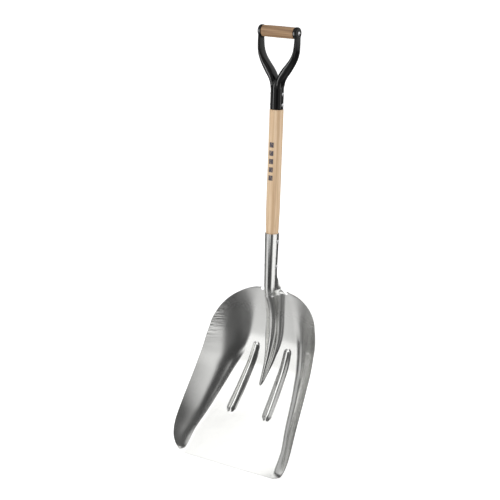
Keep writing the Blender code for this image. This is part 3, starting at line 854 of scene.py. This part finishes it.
world = bpy.data.worlds.new("studio")
scene.world = world
world.use_nodes = True
wt = world.node_tree
background = wt.nodes["Background"]


def dot_with(tree, vector, direction):
    n = tree.nodes.new("ShaderNodeVectorMath")
    n.operation = "DOT_PRODUCT"
    tree.links.new(vector, n.inputs[0])
    n.inputs[1].default_value = direction
    return n.outputs["Value"]


def window(tree, value, low, high, edge):
    """Full strength between low and high, falling smoothly to nothing over the edge on each side."""
    sides = []
    for start, stop in ((low - edge / 2, low + edge / 2), (high + edge / 2, high - edge / 2)):
        n = node(tree, "ShaderNodeMapRange", From_Min=start, From_Max=stop)
        n.interpolation_type = "SMOOTHSTEP"
        tree.links.new(value, n.inputs["Value"])
        sides.append(n.outputs["Result"])
    return math_node(tree, "MULTIPLY", sides[0], sides[1])


direction = wt.nodes.new("ShaderNodeTexCoord").outputs["Generated"]
front = dot_with(wt, direction, PHOTOGRAPHER)
right = dot_with(wt, direction, THEIR_RIGHT)
azimuth = math_node(wt, "MULTIPLY", math_node(wt, "ARCTAN2", right, front), 180 / math.pi)
rise = math_node(wt, "ARCSINE", dot_with(wt, direction, UP))
elevation = math_node(wt, "MULTIPLY", rise, 180 / math.pi)
level = None
for a0, a1, e0, e1, edge, value in WINDOWS:
    mask = math_node(wt, "MULTIPLY", window(wt, azimuth, a0, a1, edge), window(wt, elevation, e0, e1, edge))
    n = wt.nodes.new("ShaderNodeMix")
    wt.links.new(mask, n.inputs[0])
    if level is None:
        n.inputs[2].default_value = AMBIENT
    else:
        wt.links.new(level, n.inputs[2])
    n.inputs[3].default_value = value
    level = n.outputs[0]
# the backdrop itself is an even white
seen = wt.nodes.new("ShaderNodeLightPath").outputs["Is Camera Ray"]
n = wt.nodes.new("ShaderNodeMix")
wt.links.new(seen, n.inputs[0])
wt.links.new(level, n.inputs[2])
n.inputs[3].default_value = 1.0
wt.links.new(n.outputs[0], background.inputs["Strength"])
background.inputs["Color"].default_value = (1, 1, 1, 1)

CARD_FOOT = -0.4          # metres: the cards reach below the floor, which reflections don't show


def studio_card(name, left, right, top, soft_side, soft_top, level, thin_below=None, slant=None):
    """Upright dark card that only reflections show.

    Its ends are (distance from the shaft towards the photographer, distance to their right).
    thin_below is (low, high, share left at low) and slant (slope, height it starts below).
    """
    ends = [Vector((0, AXIS_Y * MM, 0)) + PHOTOGRAPHER * away + THEIR_RIGHT * along
            for away, along in (left, right)]
    reach = (ends[1] - ends[0]).length
    mesh = bpy.data.meshes.new(name)
    corners = [(0, 0, CARD_FOOT), (reach, 0, CARD_FOOT), (reach, 0, top), (0, 0, top)]
    mesh.from_pydata(corners, [], [(0, 1, 2, 3)])
    obj = bpy.data.objects.new(name, mesh)
    obj.location = ends[0]
    step = ends[1] - ends[0]
    obj.rotation_euler = (0, 0, math.atan2(step.y, step.x))
    scene.collection.objects.link(obj)
    m = bpy.data.materials.new(name)
    m.use_nodes = True
    t = m.node_tree
    t.nodes.clear()
    spot = t.nodes.new("ShaderNodeTexCoord").outputs["Object"]
    along = dot_with(t, spot, Vector((1, 0, 0)))
    up = dot_with(t, spot, UP)
    if slant:
        drop = math_node(t, "MAXIMUM", math_node(t, "SUBTRACT", slant[1], up), 0.0)
        along = math_node(t, "ADD", along, math_node(t, "MULTIPLY", drop, slant[0]))
    sides = window(t, along, soft_side[0], reach - soft_side[1], 2 * max(soft_side))
    mask = math_node(t, "MULTIPLY", sides, ramp(t, up, top - soft_top, top, 1.0, 0.0))
    if thin_below:
        mask = math_node(t, "MULTIPLY", mask, ramp(t, up, thin_below[0], thin_below[1], thin_below[2], 1.0))
    glow = node(t, "ShaderNodeEmission", Strength=level)
    blend = t.nodes.new("ShaderNodeMixShader")
    t.links.new(mask, blend.inputs[0])
    t.links.new(t.nodes.new("ShaderNodeBsdfTransparent").outputs[0], blend.inputs[1])
    t.links.new(glow.outputs[0], blend.inputs[2])
    t.links.new(blend.outputs[0], t.nodes.new("ShaderNodeOutputMaterial").inputs[0])
    mesh.materials.append(m)
    obj.visible_camera = obj.visible_diffuse = obj.visible_shadow = obj.visible_transmission = False


studio_card("card_left", (0.45, -0.64), (0.32, -0.12), 0.52, (0.02, 0.0), 0.10, 0.045,
            (0.25, 0.33, 0.84), (1.65, 0.257))
studio_card("card_middle", (0.32, -0.14), (0.30, 0.06), 0.62, (0.0, 0.045), 0.16, 0.045,
            None, (1.6, 0.37))
studio_card("low_veil", (0.29, -0.45), (0.29, 0.80), 0.33, (0.03, 0.03), 0.18, 0.10)


def area_light(name, location, target, size, energy):
    data = bpy.data.lights.new(name, "AREA")
    data.shape = "RECTANGLE"
    data.size, data.size_y = size
    data.energy = energy
    obj = bpy.data.objects.new(name, data)
    obj.location = location
    obj.rotation_euler = (Vector(target) - Vector(location)).to_track_quat("-Z", "Y").to_euler()
    obj.visible_glossy = False
    scene.collection.objects.link(obj)
    return obj


def enamel_strip(name, location, size, energy):
    """Narrow upright strip that only the black pressing sees."""
    strip = area_light(name, location, (0, AXIS_Y * MM, location[2]), size, energy)
    strip.visible_glossy = True
    strip.visible_camera = False
    strip.light_linking.receiver_collection = ENAMELLED


area_light("key_left", (-2.2, -1.6, 2.9), (0, 0.1, 0.5), (2.4, 2.0), 26.0)
ENAMELLED = bpy.data.collections.new("enamelled")
ENAMELLED.objects.link(bpy.data.objects["yoke_pressing"])
enamel_strip("strip_left", (-1.118, -1.476, 0.9), (0.30, 1.8), 22.0)
enamel_strip("strip_right", (1.956, 0.596, 0.9), (0.22, 1.8), 9.0)
